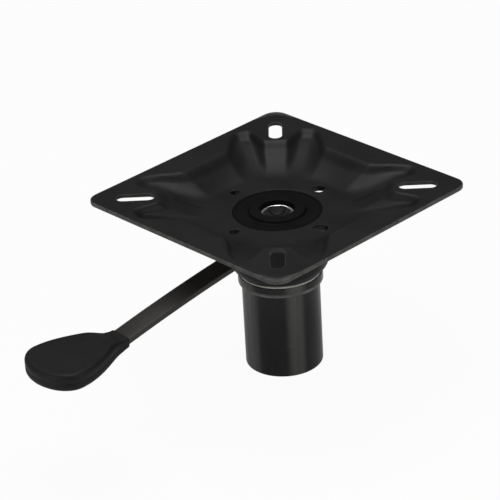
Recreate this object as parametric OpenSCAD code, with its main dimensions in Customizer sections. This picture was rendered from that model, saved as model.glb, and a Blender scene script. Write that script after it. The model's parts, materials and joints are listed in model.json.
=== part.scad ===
// Swivel seat base: a pressed seat plate that turns on a plug-in spigot, with a brake lever.
// Z points up. The origin is the centre of the spigot's lower end.
// X runs along the diagonal through two mounting slots, and Y along the other diagonal.

/* [Seat plate] */
// Side of the square seat plate
plate_side = 173.5; // [168:0.5:184]
// Thickness of the plate's sheet steel
plate_t = 2.5; // [2:0.1:3]
// Radius of the plate's corners
corner_r = 10; // [5:0.5:15]
// Side of the square bolt pattern, between slot centres
bolt_square = 127; // [124:0.5:130]
// Width of each mounting slot
slot_w = 8.8; // [7:0.1:10]
// Length of each mounting slot from end to end
slot_len = 24.5; // [18:0.5:26]
// Depth of the pressed dish below the plate's border
dish_depth = 13.5; // [11:0.5:15]
// Radius of the dish's flat floor round the hub
floor_r = 44; // [44:0.5:47]
// Distance of the dish's straight edges from the middle
dish_edge = 67; // [64:0.5:69]
// Radius on the diagonal at which each ridge leaves the border
ridge_r = 76; // [73:0.5:77]
// Radius that the lobes beside each slot reach
lobe_r = 94; // [91:0.5:95]
// Depth of the steep shoulder round the dish
shoulder_drop = 3.2; // [2:0.1:4]
// Width of the steep shoulder round the dish
shoulder_run = 8; // [6:0.5:10]
// Radius of the hub hole
hub_hole_r = 28.6; // [28:0.1:29]
// Radius of the circle that the four round holes lie on
round_hole_at = 38.5; // [38:0.1:39]
// Diameter of the two smaller round holes
small_hole_d = 6; // [5:0.5:8]
// Diameter of the two larger round holes
large_hole_d = 9; // [8:0.5:10.5]

/* [Housing] */
// Outer diameter of the housing
housing_d = 64.4; // [64:0.1:66]
// Thickness of the housing's sheet steel
housing_t = 2.5; // [2:0.1:3]
// Outer radius of the housing's lower corner
housing_corner = 9; // [7:0.5:9.5]
// Width of the lever window
window_w = 18; // [16.5:0.5:22]
// Depth of the lever window's sill below the plate's top face
window_sill = 45.5; // [42:0.5:46]

/* [Spigot] */
// Outer diameter of the spigot tube
spigot_d = 50.8; // [49:0.1:52]
// Wall of the spigot tube
spigot_t = 3; // [2:0.1:4]
// Length of the spigot tube below the collar
spigot_len = 59.4; // [56:0.1:60]
// Diameter of the collar
collar_d = 55.2; // [53:0.1:56]
// Height of the collar
collar_h = 7; // [6:0.5:7]
// Thickness of the thrust washer between collar and housing
thrust_t = 1; // [0.8:0.1:1.2]
// Diameter of the spindle inside the housing
spindle_d = 36; // [32:0.5:38]
// Thickness of the brake disc
disc_t = 3; // [2.5:0.5:4]
// Diameter of the brake disc
disc_d = 53; // [48:0.5:53]

/* [Upper bearing] */
// Thickness of the bearing pan's sheet steel
pan_t = 2; // [1.5:0.1:2]
// Depth of the bearing pan below the plate
pan_depth = 8.8; // [8.5:0.1:9.5]
// Outer radius of the bearing pan's wall
pan_wall_r = 27.5; // [27:0.1:28]
// Nominal diameter of the king bolt
bolt_d = 10; // [8:0.5:10]
// Width across the king nut's flats
nut_af = 16; // [15:0.5:17]
// Thickness of the nylon flange of the upper bush
bush_flange_t = 1.2; // [1:0.1:1.5]
// Outer radius of the bright cup washer
cup_r = 10.9; // [10.6:0.1:11]
// Height of the cup washer's upturned wall
cup_wall_h = 6; // [3:0.1:6.5]
// Thickness of the cup washer's sheet steel
cup_t = 1; // [0.8:0.1:1.2]

/* [Lever] */
// Width of the lever's flat bar
bar_w = 15; // [13:0.5:15]
// Thickness of the lever's flat bar
bar_t = 4; // [3.5:0.1:4.2]
// Downward slope of the bar at its pivot, in degrees
slope_in = 4; // [3:0.25:5]
// Downward slope of the bar where it enters the grip, in degrees
slope_out = 10; // [8:0.25:12]
// Distance of the lever's pivot from the swivel axis
pivot_at = 11.5; // [11:0.1:12]
// Depth of the lever's pivot below the plate's top face
pivot_drop = 31; // [31:0.1:32]
// Diameter of the pivot pin
pin_d = 4; // [3:0.1:4.4]
// Outer diameter of the eye at the bar's end
eye_d = 8; // [7:0.1:8.4]
// Distance from the swivel axis to the point where the bar levels out in the grip
bar_reach = 145; // [138:0.5:150]
// Length of the level tang inside the grip
tang_len = 34; // [25:0.5:36]

/* [Grip] */
// Length of the grip
grip_len = 60.1; // [58:0.1:68]
// Widest width of the grip
grip_w = 48.2; // [46:0.2:56]
// Thickness of the grip
grip_h = 11.5; // [11:0.5:13]
// Width of the grip's neck
neck_w = 17.4; // [17:0.1:20]
// Distance of the grip's round end from its widest place
grip_nose = 17.2; // [15:0.1:25]
// Radius of the grip's rounded edges
grip_edge = 3; // [2:0.5:4]
// Height of the grip's top above the level tang's middle
grip_lift = 8.2; // [7.5:0.1:8.4]
// Turn of the grip about its neck, seen from above, in degrees
grip_turn = 2.5; // [0:0.5:5]

/* [Brake] */
// Distance of the brake plunger from the swivel axis
plunger_at = 20; // [19.5:0.1:20.3]
// Diameter of the plunger's stem
stem_d = 5; // [4:0.1:5.2]
// Diameter of the plunger's head and of the brake pad
pad_d = 12; // [10:0.1:12.4]
// Thickness of the brake pad
pad_t = 2; // [1.5:0.1:3]
// Thickness of the plunger's head
head_t = 2; // [1.5:0.1:3]
// Room for the brake spring between the plunger's head and the cradle's bridge
spring_room = 6.6; // [6.2:0.1:8]
// Wire diameter of the brake spring
wire_d = 1; // [0.8:0.1:1]
// Number of turns of the brake spring
spring_turns = 3; // [2:1:3]

/* [Fits] */
// Radial clearance of every pin or shaft that turns or slides in a bore
running_gap = 0.08; // [0.05:0.01:0.1]
// Gap between the faces of neighbouring moving pieces
face_gap = 0.2; // [0.15:0.05:0.3]

/* [Hidden] */
$fn = 72;
eps = 0.01;

// The plate's sides and the lever stand at 45 degrees to X and Y
side_turn = -45;

// Heights of the seats, from the spigot upwards
collar_top = spigot_len + collar_h;
housing_floor = collar_top + thrust_t;
bush_flange_top = housing_floor + housing_t + 1.5;
disc_low = bush_flange_top + 0.3;
disc_top = disc_low + disc_t;
plug_h = 8;
plug_low = spigot_len - plug_h;
bolt_head_h = 6;
pad_low = disc_top + face_gap;
head_low = pad_low + pad_t;
head_top = head_low + head_t;
bridge_low = head_top + spring_room;
bridge_t = 2.5;
bridge_top = bridge_low + bridge_t;

// Curve of the lever's bar: its drop below the pivot and its slope, by distance from the pivot
cradle_out = 26.3;
slope_run = bar_reach - pivot_at;
function bar_tan(run) = tan(slope_in) + (tan(slope_out) - tan(slope_in)) * run / slope_run;
function bar_drop(run) = run * (tan(slope_in) + bar_tan(run)) / 2;
function bar_half(run) = bar_t / 2 * sqrt(1 + pow(bar_tan(run), 2));

// Heights that hang on the lever's pivot, which clears the bridge and is rounded up to a tenth
bar_room = 0.35;
cradle_run = cradle_out - pivot_at;
pivot_z = ceil(10 * (bridge_top + bar_room + bar_drop(cradle_run) + bar_half(cradle_run))) / 10;
plate_top = pivot_z + pivot_drop;
floor_top = plate_top - dish_depth;
floor_low = floor_top - plate_t;
housing_top = floor_low - pan_t;
pan_top = floor_low - pan_depth + pan_t;
pan_low = floor_low - pan_depth;
bush_top = pan_top + bush_flange_t;
cup_top = bush_top + cup_t;
nut_h = 6;
nut_top = cup_top + nut_h;
bolt_end = nut_top + 1.1;

// Upper bearing
bolt_r = bolt_d / 2;
sleeve_r = bolt_r + 2.5;
bush_flange_r = cup_r - 0.4;
pan_flange_r = housing_d / 2;
pan_corner = 3.5;

// Hub cover
cover_t = 2;
cover_r = hub_hole_r - face_gap;
boss_r = 18.5;
boss_rise = 2;
cover_hole_r = cup_r + 0.4;
rim_bead_r = 0.7;

// Lever
pivot_y = -pivot_at;
pin_r = pin_d / 2;
eye_r = eye_d / 2;
tang_z = pivot_z - bar_drop(slope_run);
cheek_gap = 0.7;

// Grip
grip_top = tang_z + grip_lift;
grip_low = grip_top - grip_h;
grip_start = bar_reach - 0.5;
grip_wide = grip_start + grip_len - grip_nose;
neck_run = grip_wide - grip_start;
pocket_gap = 0.1;
screw_r = 1.5;
screw_head_r = 3.2;
screw_head_h = 0.8;
screw_sunk = 0.2;

// Cradle that carries the lever and guides the plunger
cheek_t = 2.5;
cheek_x = bar_w / 2 + cheek_gap;
cheek_out = cheek_x + cheek_t;
cradle_in = 6.3;
bridge_in = 17.4;
cradle_top = pan_low;
flange_w = 7.8;
flange_out = cheek_out + flange_w;
flange_far = 21;
rivet_x = cheek_out + 3.9;
rivet_ys = [-9.6, -16.4];
rivet_r = 1.6;
rivet_head_r = 2.8;

// Brake plunger
stem_r = stem_d / 2;
pad_r = pad_d / 2;
clip_r = 4.6;
clip_t = 1.2;
clip_in = plunger_at - clip_r - pivot_at;
bar_rise = bar_half(clip_in) - bar_drop(clip_in);
eye_rise = sqrt(max(0, eye_r * eye_r - clip_in * clip_in));
clip_low = pivot_z + max(bar_rise, eye_rise) + 0.15;
stem_top = clip_low + clip_t + 0.8;
stem_hole_r = stem_r + 0.8;
coil_r = stem_r + 0.5 + wire_d / 2;

// Turns its children so that -Y becomes the lever's direction
module along_lever() {
    rotate([0, 0, side_turn]) children();
}

// A ring or disc between two heights
module ring(outer_r, inner_r, low, high) {
    translate([0, 0, low]) difference() {
        cylinder(r = outer_r, h = high - low);
        if (inner_r > 0)
            translate([0, 0, -1]) cylinder(r = inner_r, h = high - low + 2);
    }
}

// A hexagonal prism, width given across its flats
module hex(across, low, high) {
    translate([0, 0, low]) cylinder(r = across / 2 / cos(30), h = high - low, $fn = 6);
}

// Outline of one slot that runs along X
module slot_shape(length, width) {
    half = (length - width) / 2;
    translate([-half, 0]) circle(d = width);
    translate([half, 0]) circle(d = width);
    square([2 * half, width], center = true);
}

// Outline of a square with round corners
module round_square(side, radius) {
    flat = side - 2 * radius;
    square([side, flat], center = true);
    square([flat, side], center = true);
    for (sx = [-1, 1], sy = [-1, 1])
        translate([sx * flat / 2, sy * flat / 2]) circle(r = radius);
}

// Form of the pressed dish
// Smooth step from 0 to 1
function smooth(t) = let (c = min(1, max(0, t))) c * c * (3 - 2 * c);

// Angle from the nearest diagonal of the plate, 0 to 45 degrees
function from_diagonal(a) = let (m = a - 90 * floor(a / 90)) min(m, 90 - m);

// Angles at which the ridge ends, the lobe peaks and the straight edge starts
ridge_half = 5.5;
lobe_from = 12;
lobe_to = 15.5;
edge_from = 29.5;

// Radius at which the dish meets the border, by angle from the diagonal
function edge_line(d) = dish_edge / cos(45 - d);
function dish_outer(d) =
    d < lobe_from ? ridge_r + (lobe_r - ridge_r) * smooth((d - ridge_half) / (lobe_from - ridge_half))
    : d < lobe_to ? lobe_r
    : lobe_r + (edge_line(max(d, edge_from)) - lobe_r) * smooth((d - lobe_to) / (edge_from - lobe_to));

// Depth of the dish, by distance from its edge and by share of the way from its edge to the floor
function dish_fall(gone, share) =
    shoulder_drop * smooth(gone / shoulder_run)
    + (dish_depth - shoulder_drop) * (0.55 * smooth(share) + 0.45 * smooth(pow(share, 0.8)));

// Mesh of the pressed sheet: rings of points from the floor's edge out past the plate's corners
plate_steps = 96;
wall_rings = 12;
sheet_r = plate_side;
function sheet_point(ring, k) =
    let (a = k * 360 / plate_steps,
         run = dish_outer(from_diagonal(a)) - floor_r,
         share = 1 - sin(90 * min(ring, wall_rings) / wall_rings),
         r = ring > wall_rings ? sheet_r : floor_r + run * (1 - share),
         z = ring > wall_rings ? 0 : -dish_fall(run * share, share))
    [r * cos(a), r * sin(a), z];
sheet_top = [for (ring = [0 : wall_rings + 1], k = [0 : plate_steps - 1]) sheet_point(ring, k)];
sheet_count = len(sheet_top);
sheet_points = concat(
    [for (p = sheet_top) p + [0, 0, plate_top]],
    [for (p = sheet_top) p + [0, 0, plate_top - plate_t]]
);
function sheet_index(ring, k) = ring * plate_steps + k % plate_steps;
sheet_faces = concat(
    [for (ring = [0 : wall_rings], k = [0 : plate_steps - 1])
        [sheet_index(ring, k), sheet_index(ring + 1, k + 1), sheet_index(ring + 1, k)]],
    [for (ring = [0 : wall_rings], k = [0 : plate_steps - 1])
        [sheet_index(ring, k), sheet_index(ring, k + 1), sheet_index(ring + 1, k + 1)]],
    [for (ring = [0 : wall_rings], k = [0 : plate_steps - 1])
        [sheet_count + sheet_index(ring, k), sheet_count + sheet_index(ring + 1, k),
         sheet_count + sheet_index(ring + 1, k + 1)]],
    [for (ring = [0 : wall_rings], k = [0 : plate_steps - 1])
        [sheet_count + sheet_index(ring, k), sheet_count + sheet_index(ring + 1, k + 1),
         sheet_count + sheet_index(ring, k + 1)]],
    [[for (k = [plate_steps - 1 : -1 : 0]) sheet_index(0, k)]],
    [[for (k = [0 : plate_steps - 1]) sheet_count + sheet_index(0, k)]],
    [for (k = [0 : plate_steps - 1])
        [sheet_index(wall_rings + 1, k), sheet_index(wall_rings + 1, k + 1),
         sheet_count + sheet_index(wall_rings + 1, k + 1), sheet_count + sheet_index(wall_rings + 1, k)]]
);

// Seat plate: the pressed sheet, cut to its outline, slotted and drilled
module top_plate() {
    slot_r = bolt_square / sqrt(2);
    color([0.13, 0.13, 0.14]) difference() {
        intersection() {
            polyhedron(points = sheet_points, faces = sheet_faces, convexity = 6);
            translate([0, 0, floor_low - 1]) rotate([0, 0, side_turn])
                linear_extrude(height = dish_depth + plate_t + 2) round_square(plate_side, corner_r);
        }
        for (turn = [0 : 90 : 270])
            rotate([0, 0, turn]) translate([slot_r, 0, plate_top - plate_t - 1])
                linear_extrude(height = plate_t + 2) slot_shape(slot_len, slot_w);
        translate([0, 0, floor_low - 1]) cylinder(r = hub_hole_r, h = plate_t + 2);
        along_lever() for (k = [0 : 3])
            rotate([0, 0, 90 * k]) translate([round_hole_at, 0, floor_low - 1])
                cylinder(d = k < 2 ? large_hole_d : small_hole_d, h = plate_t + 2);
    }
}

// Outline of the lever window, open at its top, in the plane across the lever
module window_shape(low, high) {
    corner = 4;
    half = window_w / 2;
    translate([-half, low + corner]) square([window_w, high - low - corner]);
    translate([-half + corner, low]) square([window_w - 2 * corner, 2 * corner]);
    for (side = [-1, 1])
        translate([side * (half - corner), low + corner]) circle(r = corner);
}

// Housing: drawn steel cup that stands on the thrust washer
module housing() {
    outer = housing_d / 2;
    inner = outer - housing_t;
    arc_in = housing_corner - housing_t;
    mid = outer - housing_corner;
    hole = spindle_d / 2 + running_gap + 2.1;
    color([0.1, 0.1, 0.11]) difference() {
        rotate_extrude() difference() {
            union() {
                translate([hole, housing_floor])
                    square([mid - hole, housing_top - housing_floor]);
                translate([mid - eps, housing_floor + housing_corner])
                    square([housing_corner + eps, housing_top - housing_floor - housing_corner]);
                translate([mid, housing_floor + housing_corner]) intersection() {
                    circle(r = housing_corner);
                    translate([-eps, -housing_corner - 1]) square(housing_corner + 1 + eps);
                }
            }
            union() {
                translate([hole - 1, housing_floor + housing_t])
                    square([mid - hole + 1, housing_top]);
                translate([mid - eps, housing_floor + housing_corner])
                    square([arc_in + eps, housing_top]);
                translate([mid, housing_floor + housing_corner]) intersection() {
                    circle(r = arc_in);
                    translate([-eps, -arc_in - 1]) square(arc_in + 1 + eps);
                }
            }
        }
        along_lever() translate([0, -inner / 2, 0]) rotate([90, 0, 0])
            linear_extrude(height = outer) window_shape(plate_top - window_sill, housing_top + 1);
    }
}

// Bearing pan: drawn pan between plate and housing, with the upper bearing in its floor
module bearing_pan() {
    wall_in = pan_wall_r - pan_t;
    color([0.16, 0.16, 0.17]) difference() {
        rotate_extrude() difference() {
            union() {
                translate([0, floor_low - pan_t]) square([pan_flange_r, pan_t]);
                translate([0, pan_low + pan_corner]) square([pan_wall_r, floor_low - pan_low - pan_corner]);
                translate([0, pan_low]) square([pan_wall_r - pan_corner, pan_corner + 1]);
                translate([pan_wall_r - pan_corner, pan_low + pan_corner]) intersection() {
                    circle(r = pan_corner);
                    translate([0, -pan_corner]) square(pan_corner);
                }
            }
            translate([-1, pan_top]) square([wall_in + 1, pan_depth]);
        }
        translate([0, 0, pan_low - 1]) cylinder(r = sleeve_r, h = pan_t + 2);
        along_lever() translate([0, 0, pan_low - 1]) cradle_rivet_places() cylinder(r = rivet_r, h = pan_t + 2);
    }
}

// Places its children at the four cradle rivets
module cradle_rivet_places() {
    for (side = [-1, 1], y = rivet_ys)
        translate([side * rivet_x, y, 0]) children();
}

// Hub cover: moulded ring with a raised boss and a beaded rim
module hub_cover() {
    boss_in = boss_r - cover_t;
    color([0.08, 0.08, 0.085]) rotate_extrude() {
        difference() {
            union() {
                translate([cover_hole_r, floor_low]) square([cover_r - cover_hole_r, cover_t]);
                translate([cover_hole_r, floor_low]) square([boss_r - cover_hole_r, cover_t + boss_rise]);
            }
            translate([cover_hole_r + cover_t, floor_low - 1])
                square([boss_in - cover_hole_r - cover_t, boss_rise + 1]);
        }
        translate([cover_r - rim_bead_r, floor_low + cover_t]) circle(r = rim_bead_r, $fn = 24);
    }
}

// Upper bush: flanged nylon sleeve round the king bolt
module upper_bush() {
    color([0.75, 0.74, 0.7]) {
        difference() {
            union() {
                ring(bush_flange_r, 0, pan_top, bush_top);
                ring(sleeve_r, 0, pan_low, pan_top + eps);
            }
            translate([0, 0, pan_low - 1]) cylinder(r = bolt_r + running_gap, h = pan_depth + 4);
        }
    }
}

// Lower bush: flanged nylon sleeve in the housing's floor
module lower_bush() {
    sleeve_in = spindle_d / 2 + running_gap;
    sleeve_out = sleeve_in + 2.1;
    color([0.75, 0.74, 0.7]) difference() {
        union() {
            ring(sleeve_out, 0, housing_floor, housing_floor + housing_t + eps);
            ring(housing_d / 2 - housing_corner, 0, housing_floor + housing_t, bush_flange_top);
        }
        translate([0, 0, housing_floor - 1]) cylinder(r = sleeve_in, h = housing_t + 4);
    }
}

// Spigot tube, cut off plain at its lower end
module spigot_tube() {
    color([0.06, 0.06, 0.065]) ring(spigot_d / 2, spigot_d / 2 - spigot_t, 0, spigot_len);
}

// Spindle: turned flange with a plug below and the bearing journal above
module spindle() {
    collar_r = collar_d / 2;
    lip = 2;
    color([0.1, 0.1, 0.105]) difference() {
        rotate_extrude() {
            translate([0, plug_low]) square([spigot_d / 2 - spigot_t, plug_h]);
            translate([0, spigot_len]) square([collar_r - lip, lip + eps]);
            translate([collar_r - lip, spigot_len + lip]) intersection() {
                circle(r = lip);
                translate([-eps, -lip]) square([lip + eps, lip + eps]);
            }
            translate([0, spigot_len + lip]) square([collar_r, collar_h - lip]);
            translate([0, collar_top - eps]) square([spindle_d / 2, disc_low - collar_top + eps]);
        }
        translate([0, 0, plug_low - 1]) cylinder(r = bolt_r, h = plug_h + collar_h + spigot_len);
    }
}

// Thrust washer between the collar and the housing
module thrust_washer() {
    color([0.7, 0.69, 0.65])
        ring(collar_d / 2 - 0.6, spindle_d / 2 + 0.3, collar_top, housing_floor);
}

// Brake disc fixed on the spindle's top
module brake_disc() {
    color([0.5, 0.5, 0.52]) ring(disc_d / 2, bolt_r, disc_low, disc_top);
}

// King bolt: runs from the plug up through both bearings
module king_bolt() {
    color([0.62, 0.62, 0.64]) {
        hex(nut_af, plug_low - bolt_head_h, plug_low);
        ring(bolt_r, 0, plug_low - eps, bolt_end);
    }
}

// Cup washer on the upper bush
module cup_washer() {
    color([0.8, 0.8, 0.8]) {
        ring(cup_r, bolt_r, bush_top, cup_top);
        ring(cup_r, cup_r - cup_t, cup_top - eps, bush_top + cup_wall_h);
    }
}

// King nut
module king_nut() {
    color([0.6, 0.6, 0.62]) difference() {
        hex(nut_af, cup_top, nut_top);
        translate([0, 0, cup_top - 1]) cylinder(r = bolt_r, h = nut_h + 2);
    }
}

// Pivot cradle: folded bracket with two cheeks, a bridge below the bar and flanges under the pan
module pivot_cradle() {
    depth = cradle_out - cradle_in;
    color([0.55, 0.55, 0.57]) along_lever() difference() {
        union() {
            for (side = [-1, 1]) {
                translate([side > 0 ? cheek_x : -cheek_out, -cradle_out, bridge_low])
                    cube([cheek_t, depth, cradle_top - bridge_low]);
                translate([side > 0 ? cheek_x : -flange_out, -flange_far, cradle_top - cheek_t])
                    cube([flange_out - cheek_x, flange_far - cradle_in, cheek_t]);
            }
            translate([-cheek_out, -cradle_out, bridge_low])
                cube([2 * cheek_out, cradle_out - bridge_in, bridge_t]);
        }
        translate([-cheek_out - 1, pivot_y, pivot_z]) rotate([0, 90, 0])
            cylinder(r = pin_r, h = 2 * cheek_out + 2);
        translate([0, -plunger_at, bridge_low - 1]) cylinder(r = stem_r + running_gap, h = bridge_t + 2);
        translate([0, 0, cradle_top - cheek_t - 1]) cradle_rivet_places() cylinder(r = rivet_r, h = cheek_t + 2);
    }
}

// Four rivets through pan and cradle
module cradle_rivets() {
    head_h = 1.2;
    color([0.6, 0.6, 0.62]) along_lever() cradle_rivet_places() {
        ring(rivet_r, 0, cradle_top - cheek_t - eps, pan_top + eps);
        ring(rivet_head_r, 0, pan_top, pan_top + head_h);
        ring(rivet_head_r, 0, cradle_top - cheek_t - head_h, cradle_top - cheek_t);
    }
}

// Pivot pin across the cradle
module pivot_pin() {
    reach = cheek_out + 2;
    color([0.65, 0.65, 0.67]) along_lever() translate([-reach, pivot_y, pivot_z])
        rotate([0, 90, 0]) cylinder(r = pin_r, h = 2 * reach);
}

// Two retaining clips on the pivot pin
module pin_clips() {
    clip = 0.8;
    color([0.35, 0.35, 0.36]) along_lever() for (side = [-1, 1])
        translate([side > 0 ? cheek_out : -cheek_out - clip, pivot_y, pivot_z]) rotate([0, 90, 0])
            difference() {
                cylinder(r = pin_r + 1.5, h = clip);
                translate([0, 0, -1]) cylinder(r = pin_r, h = clip + 2);
            }
}

// Side view of the lever: the curved bar and the level tang, with the pivot at the origin
bar_steps = 12;
module bar_profile() {
    half = bar_t / 2;
    last = bar_tan(slope_run);
    bend = half * tan(atan(last) / 2);
    runs = [for (i = [0 : bar_steps - 1]) slope_run * i / bar_steps];
    polygon(concat(
        [for (run = runs) let (a = atan(bar_tan(run))) [run + half * sin(a), half * cos(a) - bar_drop(run)]],
        [[slope_run + bend, half - bar_drop(slope_run)]],
        [[slope_run + tang_len, half - bar_drop(slope_run)]],
        [[slope_run + tang_len, -half - bar_drop(slope_run)]],
        [[slope_run - bend, -half - bar_drop(slope_run)]],
        [for (i = [bar_steps - 1 : -1 : 0])
            let (run = runs[i], a = atan(bar_tan(run))) [run - half * sin(a), -half * cos(a) - bar_drop(run)]]
    ));
}

// Lever bar: one flat bar with a rolled eye, pierced for the plunger and for the grip's screw
module lever_arm() {
    hole_run = plunger_at - pivot_at;
    color([0.1, 0.1, 0.105]) along_lever() difference() {
        translate([bar_w / 2, pivot_y, pivot_z]) rotate([90, 0, -90]) {
            cylinder(r = eye_r, h = bar_w);
            linear_extrude(height = bar_w) bar_profile();
        }
        translate([-bar_w / 2 - 1, pivot_y, pivot_z]) rotate([0, 90, 0])
            cylinder(r = pin_r + running_gap, h = bar_w + 2);
        translate([0, -plunger_at, pivot_z - bar_drop(hole_run)]) rotate([atan(bar_tan(hole_run)), 0, 0])
            translate([0, 0, -bar_t]) cylinder(r = stem_hole_r, h = 2 * bar_t);
        translate([0, -bar_reach - tang_len / 2, tang_z - bar_t]) cylinder(r = screw_r, h = 2 * bar_t);
    }
}

// Half width of the grip, by distance from the swivel axis
function grip_half(v) =
    v > grip_wide
        ? grip_w / 2 * sqrt(max(0, 1 - pow((v - grip_wide) / grip_nose, 2)))
        : neck_w / 2 + (grip_w - neck_w) / 2
            * (0.85 * sin(90 * (v - grip_start) / neck_run) + 0.15 * smooth((v - grip_start) / neck_run));

// Outline of the grip from above: up one side, round the nose and back
grip_steps = 14;
nose_steps = 10;
grip_side = concat(
    [for (i = [0 : grip_steps - 1]) grip_start + neck_run * i / grip_steps],
    [for (i = [0 : nose_steps - 1]) grip_wide + grip_nose * sin(90 * i / nose_steps)]
);
grip_outline = concat(
    [for (v = grip_side) [grip_half(v), -v]],
    [[0, -grip_wide - grip_nose]],
    [for (i = [len(grip_side) - 1 : -1 : 0]) [-grip_half(grip_side[i]), -grip_side[i]]]
);

// Levels of the grip's rounded edge: inset from the outline, and height
edge_steps = 4;
grip_levels = concat(
    [for (i = [0 : edge_steps]) [1 - sin(90 * i / edge_steps), grip_low + grip_edge * (1 - cos(90 * i / edge_steps))]],
    [for (i = [edge_steps : -1 : 0]) [1 - sin(90 * i / edge_steps), grip_top - grip_edge * (1 - cos(90 * i / edge_steps))]]
);
function inset_point(p, share) =
    let (inset = share * grip_edge,
         mid = -(grip_start + grip_wide + grip_nose) / 2,
         half = (grip_wide + grip_nose - grip_start) / 2)
    [p[0] * (1 - inset / (grip_w / 2)), mid + (p[1] - mid) * (1 - inset / half)];
grip_count = len(grip_outline);
grip_points = [for (level = grip_levels, p = grip_outline)
    let (q = inset_point(p, level[0])) [q[0], q[1], level[1]]];
level_count = len(grip_levels);
grip_faces = concat(
    [for (n = [0 : level_count - 2], k = [0 : grip_count - 1])
        let (a = n * grip_count + k, b = n * grip_count + (k + 1) % grip_count)
        [a, a + grip_count, b]],
    [for (n = [0 : level_count - 2], k = [0 : grip_count - 1])
        let (a = n * grip_count + k, b = n * grip_count + (k + 1) % grip_count)
        [b, a + grip_count, b + grip_count]],
    [[for (k = [0 : grip_count - 1]) k]],
    [[for (k = [grip_count - 1 : -1 : 0]) (level_count - 1) * grip_count + k]]
);

// Grip: moulded paddle with a pocket for the bar's tang
module grip() {
    color([0.12, 0.12, 0.125]) along_lever() difference() {
        translate([0, -grip_start, 0]) rotate([0, 0, -grip_turn]) translate([0, grip_start, 0])
            polyhedron(points = grip_points, faces = grip_faces, convexity = 4);
        translate([-bar_w / 2 - pocket_gap, -bar_reach - tang_len - pocket_gap, tang_z - bar_t / 2 - pocket_gap])
            cube([bar_w + 2 * pocket_gap, tang_len + 10, bar_t + 2 * pocket_gap]);
        translate([0, -bar_reach - tang_len / 2, grip_low - 1]) {
            cylinder(r = screw_r + pocket_gap, h = tang_z - grip_low);
            cylinder(r = screw_head_r + face_gap, h = 1 + screw_sunk + screw_head_h);
        }
    }
}

// Screw that holds the grip on the tang, from below
module grip_screw() {
    at = bar_reach + tang_len / 2;
    color([0.3, 0.3, 0.31]) along_lever() translate([0, -at, 0]) {
        ring(screw_r, 0, grip_low + screw_sunk + screw_head_h - eps, tang_z + bar_t / 2);
        ring(screw_head_r, 0, grip_low + screw_sunk, grip_low + screw_sunk + screw_head_h);
    }
}

// Brake plunger: head and stem
module brake_plunger() {
    color([0.6, 0.6, 0.62]) along_lever() translate([0, -plunger_at, 0]) {
        ring(pad_r, 0, head_low, head_top);
        ring(stem_r, 0, head_top - eps, stem_top);
    }
}

// Brake pad under the plunger's head
module brake_pad() {
    color([0.3, 0.22, 0.18]) along_lever() translate([0, -plunger_at, 0])
        ring(pad_r, 0, pad_low, head_low);
}

// Clip on the plunger's stem, above the bar
module plunger_clip() {
    color([0.35, 0.35, 0.36]) along_lever() translate([0, -plunger_at, 0])
        ring(clip_r, stem_r, clip_low, clip_low + clip_t);
}

// Brake spring round the stem, as a stack of rings joined by a sleeve of its mean turns
spring_low = head_top + 0.1;
spring_high = bridge_low - 0.1;
spring_sides = 6;
ring_steps = 18;
spring_stations = spring_turns * ring_steps;
spring_pitch = (spring_high - spring_low - wire_d) / spring_turns;
spring_points = [for (i = [0 : spring_stations], s = [0 : spring_sides - 1])
    let (a = 360 * i / ring_steps, w = 360 * s / spring_sides, r = coil_r + wire_d / 2 * cos(w))
    [r * cos(a), r * sin(a),
     spring_low + wire_d / 2 + spring_pitch * i / ring_steps + wire_d / 2 * sin(w)]];
spring_faces = concat(
    [for (i = [0 : spring_stations - 1], s = [0 : spring_sides - 1])
        let (a = i * spring_sides + s, b = i * spring_sides + (s + 1) % spring_sides)
        [a, b, a + spring_sides]],
    [for (i = [0 : spring_stations - 1], s = [0 : spring_sides - 1])
        let (a = i * spring_sides + s, b = i * spring_sides + (s + 1) % spring_sides)
        [b, b + spring_sides, a + spring_sides]],
    [[for (s = [spring_sides - 1 : -1 : 0]) s]],
    [[for (s = [0 : spring_sides - 1]) spring_stations * spring_sides + s]]
);
module brake_spring() {
    color([0.5, 0.5, 0.52]) along_lever() translate([0, -plunger_at, 0])
        polyhedron(points = spring_points, faces = spring_faces, convexity = 8);
}

spigot_tube();
spindle();
king_bolt();
thrust_washer();
brake_disc();
cup_washer();
king_nut();
top_plate();
housing();
bearing_pan();
hub_cover();
upper_bush();
lower_bush();
pivot_cradle();
cradle_rivets();
pivot_pin();
pin_clips();
brake_spring();
lever_arm();
grip();
grip_screw();
brake_plunger();
brake_pad();
plunger_clip();
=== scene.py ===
"""Finishes a swivel seat base: pressed seat plate, hub, lever with its grip, and plug-in spigot.

Every piece is made in metres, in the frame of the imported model, and rides on one of its bodies.
X and Y run along the plate's diagonals. The lever points between -X and -Y.
"""

import json
import math
from collections import namedtuple

import bmesh
import bpy
from mathutils import Matrix, Vector
from mathutils.geometry import delaunay_2d_cdt


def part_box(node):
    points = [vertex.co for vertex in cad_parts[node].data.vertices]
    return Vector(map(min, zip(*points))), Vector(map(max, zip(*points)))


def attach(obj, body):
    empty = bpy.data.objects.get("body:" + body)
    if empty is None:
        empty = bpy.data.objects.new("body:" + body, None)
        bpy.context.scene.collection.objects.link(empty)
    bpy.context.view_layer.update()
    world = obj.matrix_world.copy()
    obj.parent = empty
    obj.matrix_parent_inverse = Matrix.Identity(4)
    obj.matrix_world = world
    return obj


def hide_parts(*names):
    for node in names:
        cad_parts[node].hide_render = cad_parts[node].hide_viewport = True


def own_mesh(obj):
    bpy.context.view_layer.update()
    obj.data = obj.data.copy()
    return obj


bl_info = {
    "name": "Swivel seat base",
    "version": (1, 0, 0),
    "blender": (4, 5, 0),
    "location": "View3D > Sidebar > Seat base",
    "description": "Pressed seat plate, hub, lever and spigot of a swivel seat base, on a plain studio floor",
    "category": "Object",
}

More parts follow.
